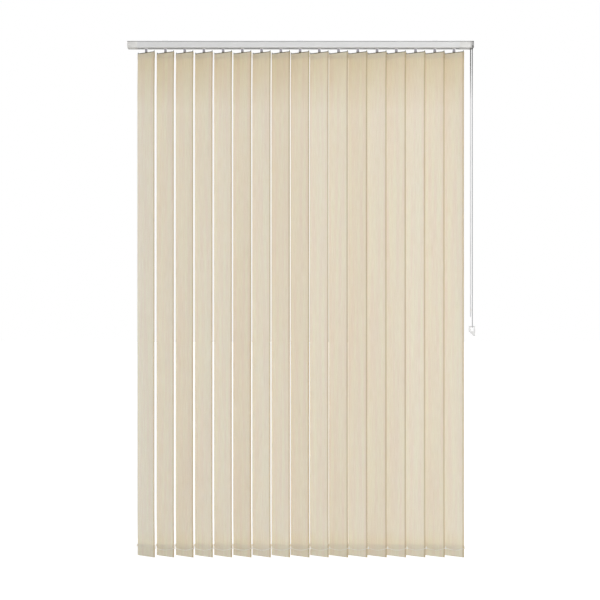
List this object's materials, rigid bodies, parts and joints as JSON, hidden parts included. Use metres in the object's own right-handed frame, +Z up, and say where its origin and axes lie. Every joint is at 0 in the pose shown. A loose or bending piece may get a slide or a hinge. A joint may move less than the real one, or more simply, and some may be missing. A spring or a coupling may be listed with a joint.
{
  "type": "vertical blind",
  "caption": "Ceiling-fixed vertical blind: fabric louvres hang from carriers in a slotted headrail, tilt on a bead chain and draw aside on a cord loop.",
  "frame": {"origin": "on the ceiling plane, at the middle bracket's screw hole, over the middle of the louvres", "axes": "+Z up, +X along the headrail towards the control end, -Y towards the room"},
  "size_m": [1.4421, 0.0518, 2.1415],
  "materials": {
    "rail_paint": "pale grey powder coat on extruded aluminium",
    "end_moulding": "moulded, smooth satin",
    "bracket_steel": "white-coated spring steel",
    "carrier_acetal": "moulded acetal, smooth",
    "louvre_fabric": "plain weave polyester, stiffened, beige",
    "rod_aluminium": "extruded, plain",
    "wheel_acetal": "moulded acetal, smooth",
    "pin_steel": "drawn steel",
    "bead_chain": "moulded beads, clear white",
    "cord_polyester": "braided polyester, pale grey",
    "tidy_plastic": "moulded, smooth",
    "edge_chain_plastic": "moulded links, off-white"
  },
  "bodies": {
    "root": {"headrail": "rail_paint", "idle_end_cap": "end_moulding", "pulley_pin": "pin_steel", "control_housing": "end_moulding", "control_cover": "end_moulding", "guide_pin": "pin_steel", "wheel_chain": "bead_chain", "rail_cord": "cord_polyester", "tilt_chain": "bead_chain", "chain_connector": "bead_chain", "draw_cord": "cord_polyester", "cord_tidy": "tidy_plastic", "bracket_left": "bracket_steel", "bracket_middle": "bracket_steel", "bracket_right": "bracket_steel", "carrier_17": "carrier_acetal"},
    "carrier_01": {"carrier_01": "carrier_acetal"},
    "carrier_02": {"carrier_02": "carrier_acetal"},
    "carrier_03": {"carrier_03": "carrier_acetal"},
    "carrier_04": {"carrier_04": "carrier_acetal"},
    "carrier_05": {"carrier_05": "carrier_acetal"},
    "carrier_06": {"carrier_06": "carrier_acetal"},
    "carrier_07": {"carrier_07": "carrier_acetal"},
    "carrier_08": {"carrier_08": "carrier_acetal"},
    "carrier_09": {"carrier_09": "carrier_acetal"},
    "carrier_10": {"carrier_10": "carrier_acetal"},
    "carrier_11": {"carrier_11": "carrier_acetal"},
    "carrier_12": {"carrier_12": "carrier_acetal"},
    "carrier_13": {"carrier_13": "carrier_acetal"},
    "carrier_14": {"carrier_14": "carrier_acetal"},
    "carrier_15": {"carrier_15": "carrier_acetal"},
    "carrier_16": {"carrier_16": "carrier_acetal"},
    "louvre_01": {"louvre_01": "louvre_fabric"},
    "louvre_02": {"louvre_02": "louvre_fabric"},
    "louvre_03": {"louvre_03": "louvre_fabric"},
    "louvre_04": {"louvre_04": "louvre_fabric"},
    "louvre_05": {"louvre_05": "louvre_fabric"},
    "louvre_06": {"louvre_06": "louvre_fabric"},
    "louvre_07": {"louvre_07": "louvre_fabric"},
    "louvre_08": {"louvre_08": "louvre_fabric"},
    "louvre_09": {"louvre_09": "louvre_fabric"},
    "louvre_10": {"louvre_10": "louvre_fabric"},
    "louvre_11": {"louvre_11": "louvre_fabric"},
    "louvre_12": {"louvre_12": "louvre_fabric"},
    "louvre_13": {"louvre_13": "louvre_fabric"},
    "louvre_14": {"louvre_14": "louvre_fabric"},
    "louvre_15": {"louvre_15": "louvre_fabric"},
    "louvre_16": {"louvre_16": "louvre_fabric"},
    "louvre_17": {"louvre_17": "louvre_fabric"},
    "tilt_rod": {"tilt_rod": "rod_aluminium", "chain_wheel": "wheel_acetal"},
    "idle_pulley": {"idle_pulley": "wheel_acetal"},
    "guide_roller_front": {"guide_roller_front": "wheel_acetal"},
    "guide_roller_back": {"guide_roller_back": "wheel_acetal"},
    "front_chain": {"front_chain": "edge_chain_plastic"},
    "back_chain": {"back_chain": "edge_chain_plastic"}
  },
  "joints": [
    {"name": "draw", "type": "slide", "parent": "root", "child": "carrier_01", "axis": [1, 0, 0], "range_m": [0, 1.056], "deforming": ["front_chain", "back_chain"]},
    {"name": "draw_02", "type": "slide", "parent": "root", "child": "carrier_02", "axis": [1, 0, 0], "range_m": [0, 0.99]},
    {"name": "draw_03", "type": "slide", "parent": "root", "child": "carrier_03", "axis": [1, 0, 0], "range_m": [0, 0.924]},
    {"name": "draw_04", "type": "slide", "parent": "root", "child": "carrier_04", "axis": [1, 0, 0], "range_m": [0, 0.858]},
    {"name": "draw_05", "type": "slide", "parent": "root", "child": "carrier_05", "axis": [1, 0, 0], "range_m": [0, 0.792]},
    {"name": "draw_06", "type": "slide", "parent": "root", "child": "carrier_06", "axis": [1, 0, 0], "range_m": [0, 0.726]},
    {"name": "draw_07", "type": "slide", "parent": "root", "child": "carrier_07", "axis": [1, 0, 0], "range_m": [0, 0.66]},
    {"name": "draw_08", "type": "slide", "parent": "root", "child": "carrier_08", "axis": [1, 0, 0], "range_m": [0, 0.594]},
    {"name": "draw_09", "type": "slide", "parent": "root", "child": "carrier_09", "axis": [1, 0, 0], "range_m": [0, 0.528]},
    {"name": "draw_10", "type": "slide", "parent": "root", "child": "carrier_10", "axis": [1, 0, 0], "range_m": [0, 0.462]},
    {"name": "draw_11", "type": "slide", "parent": "root", "child": "carrier_11", "axis": [1, 0, 0], "range_m": [0, 0.396]},
    {"name": "draw_12", "type": "slide", "parent": "root", "child": "carrier_12", "axis": [1, 0, 0], "range_m": [0, 0.33]},
    {"name": "draw_13", "type": "slide", "parent": "root", "child": "carrier_13", "axis": [1, 0, 0], "range_m": [0, 0.264]},
    {"name": "draw_14", "type": "slide", "parent": "root", "child": "carrier_14", "axis": [1, 0, 0], "range_m": [0, 0.198]},
    {"name": "draw_15", "type": "slide", "parent": "root", "child": "carrier_15", "axis": [1, 0, 0], "range_m": [0, 0.132]},
    {"name": "draw_16", "type": "slide", "parent": "root", "child": "carrier_16", "axis": [1, 0, 0], "range_m": [0, 0.066]},
    {"name": "idle_pulley_turn", "type": "hinge", "parent": "root", "child": "idle_pulley", "pos_m": [-0.697, -0.0085, -0.0112], "axis": [0, 0, 1], "range_deg": [-1, 17288]},
    {"name": "front_roller_turn", "type": "hinge", "parent": "root", "child": "guide_roller_front", "pos_m": [0.7119, -0.012, -0.0147], "axis": [0, 1, 0], "range_deg": [-1, 17288]},
    {"name": "back_roller_turn", "type": "hinge", "parent": "root", "child": "guide_roller_back", "pos_m": [0.7119, -0.005, -0.0147], "axis": [0, 1, 0], "range_deg": [-17288, 1]},
    {"name": "tilt", "type": "hinge", "parent": "root", "child": "louvre_17", "pos_m": [0.64, 0, -0.0455], "axis": [0, 0, -1], "range_deg": [-19, 139]},
    {"name": "tilt_01", "type": "hinge", "parent": "carrier_01", "child": "louvre_01", "pos_m": [-0.64, 0, -0.0455], "axis": [0, 0, -1], "range_deg": [-19, 139]},
    {"name": "tilt_02", "type": "hinge", "parent": "carrier_02", "child": "louvre_02", "pos_m": [-0.56, 0, -0.0455], "axis": [0, 0, -1], "range_deg": [-19, 139]},
    {"name": "tilt_03", "type": "hinge", "parent": "carrier_03", "child": "louvre_03", "pos_m": [-0.48, 0, -0.0455], "axis": [0, 0, -1], "range_deg": [-19, 139]},
    {"name": "tilt_04", "type": "hinge", "parent": "carrier_04", "child": "louvre_04", "pos_m": [-0.4, 0, -0.0455], "axis": [0, 0, -1], "range_deg": [-19, 139]},
    {"name": "tilt_05", "type": "hinge", "parent": "carrier_05", "child": "louvre_05", "pos_m": [-0.32, 0, -0.0455], "axis": [0, 0, -1], "range_deg": [-19, 139]},
    {"name": "tilt_06", "type": "hinge", "parent": "carrier_06", "child": "louvre_06", "pos_m": [-0.24, 0, -0.0455], "axis": [0, 0, -1], "range_deg": [-19, 139]},
    {"name": "tilt_07", "type": "hinge", "parent": "carrier_07", "child": "louvre_07", "pos_m": [-0.16, 0, -0.0455], "axis": [0, 0, -1], "range_deg": [-19, 139]},
    {"name": "tilt_08", "type": "hinge", "parent": "carrier_08", "child": "louvre_08", "pos_m": [-0.08, 0, -0.0455], "axis": [0, 0, -1], "range_deg": [-19, 139]},
    {"name": "tilt_09", "type": "hinge", "parent": "carrier_09", "child": "louvre_09", "pos_m": [0, 0, -0.0455], "axis": [0, 0, -1], "range_deg": [-19, 139]},
    {"name": "tilt_10", "type": "hinge", "parent": "carrier_10", "child": "louvre_10", "pos_m": [0.08, 0, -0.0455], "axis": [0, 0, -1], "range_deg": [-19, 139]},
    {"name": "tilt_11", "type": "hinge", "parent": "carrier_11", "child": "louvre_11", "pos_m": [0.16, 0, -0.0455], "axis": [0, 0, -1], "range_deg": [-19, 139]},
    {"name": "tilt_12", "type": "hinge", "parent": "carrier_12", "child": "louvre_12", "pos_m": [0.24, 0, -0.0455], "axis": [0, 0, -1], "range_deg": [-19, 139]},
    {"name": "tilt_13", "type": "hinge", "parent": "carrier_13", "child": "louvre_13", "pos_m": [0.32, 0, -0.0455], "axis": [0, 0, -1], "range_deg": [-19, 139]},
    {"name": "tilt_14", "type": "hinge", "parent": "carrier_14", "child": "louvre_14", "pos_m": [0.4, 0, -0.0455], "axis": [0, 0, -1], "range_deg": [-19, 139]},
    {"name": "tilt_15", "type": "hinge", "parent": "carrier_15", "child": "louvre_15", "pos_m": [0.48, 0, -0.0455], "axis": [0, 0, -1], "range_deg": [-19, 139]},
    {"name": "tilt_16", "type": "hinge", "parent": "carrier_16", "child": "louvre_16", "pos_m": [0.56, 0, -0.0455], "axis": [0, 0, -1], "range_deg": [-19, 139]},
    {"name": "rod_turn", "type": "hinge", "parent": "root", "child": "tilt_rod", "pos_m": [0, 0.007, -0.0183], "axis": [1, 0, 0], "range_deg": [-228, 1668]},
    {"name": "front_chain_swing", "type": "hinge", "parent": "louvre_17", "child": "front_chain", "pos_m": [0.68244, -0.0245, -2.1005], "axis": [0, 0, -1], "range_deg": [-139, 19]},
    {"name": "back_chain_swing", "type": "hinge", "parent": "louvre_17", "child": "back_chain", "pos_m": [0.59757, 0.0245, -2.1005], "axis": [0, 0, -1], "range_deg": [-139, 19]}
  ],
  "couplings": [
    {"joint": "draw_02", "follows": "draw", "ratio": 0.9375},
    {"joint": "draw_03", "follows": "draw", "ratio": 0.875},
    {"joint": "draw_04", "follows": "draw", "ratio": 0.8125},
    {"joint": "draw_05", "follows": "draw", "ratio": 0.75},
    {"joint": "draw_06", "follows": "draw", "ratio": 0.6875},
    {"joint": "draw_07", "follows": "draw", "ratio": 0.625},
    {"joint": "draw_08", "follows": "draw", "ratio": 0.5625},
    {"joint": "draw_09", "follows": "draw", "ratio": 0.5},
    {"joint": "draw_10", "follows": "draw", "ratio": 0.4375},
    {"joint": "draw_11", "follows": "draw", "ratio": 0.375},
    {"joint": "draw_12", "follows": "draw", "ratio": 0.3125},
    {"joint": "draw_13", "follows": "draw", "ratio": 0.25},
    {"joint": "draw_14", "follows": "draw", "ratio": 0.1875},
    {"joint": "draw_15", "follows": "draw", "ratio": 0.125},
    {"joint": "draw_16", "follows": "draw", "ratio": 0.0625},
    {"joint": "idle_pulley_turn", "follows": "draw", "rad_per_m": 285.71},
    {"joint": "front_roller_turn", "follows": "draw", "rad_per_m": 285.71},
    {"joint": "back_roller_turn", "follows": "draw", "rad_per_m": -285.71},
    {"joint": "tilt_01", "follows": "tilt", "ratio": 1},
    {"joint": "tilt_02", "follows": "tilt", "ratio": 1},
    {"joint": "tilt_03", "follows": "tilt", "ratio": 1},
    {"joint": "tilt_04", "follows": "tilt", "ratio": 1},
    {"joint": "tilt_05", "follows": "tilt", "ratio": 1},
    {"joint": "tilt_06", "follows": "tilt", "ratio": 1},
    {"joint": "tilt_07", "follows": "tilt", "ratio": 1},
    {"joint": "tilt_08", "follows": "tilt", "ratio": 1},
    {"joint": "tilt_09", "follows": "tilt", "ratio": 1},
    {"joint": "tilt_10", "follows": "tilt", "ratio": 1},
    {"joint": "tilt_11", "follows": "tilt", "ratio": 1},
    {"joint": "tilt_12", "follows": "tilt", "ratio": 1},
    {"joint": "tilt_13", "follows": "tilt", "ratio": 1},
    {"joint": "tilt_14", "follows": "tilt", "ratio": 1},
    {"joint": "tilt_15", "follows": "tilt", "ratio": 1},
    {"joint": "tilt_16", "follows": "tilt", "ratio": 1},
    {"joint": "rod_turn", "follows": "tilt", "ratio": 12},
    {"joint": "front_chain_swing", "follows": "tilt", "ratio": -1},
    {"joint": "back_chain_swing", "follows": "tilt", "ratio": -1}
  ]
}
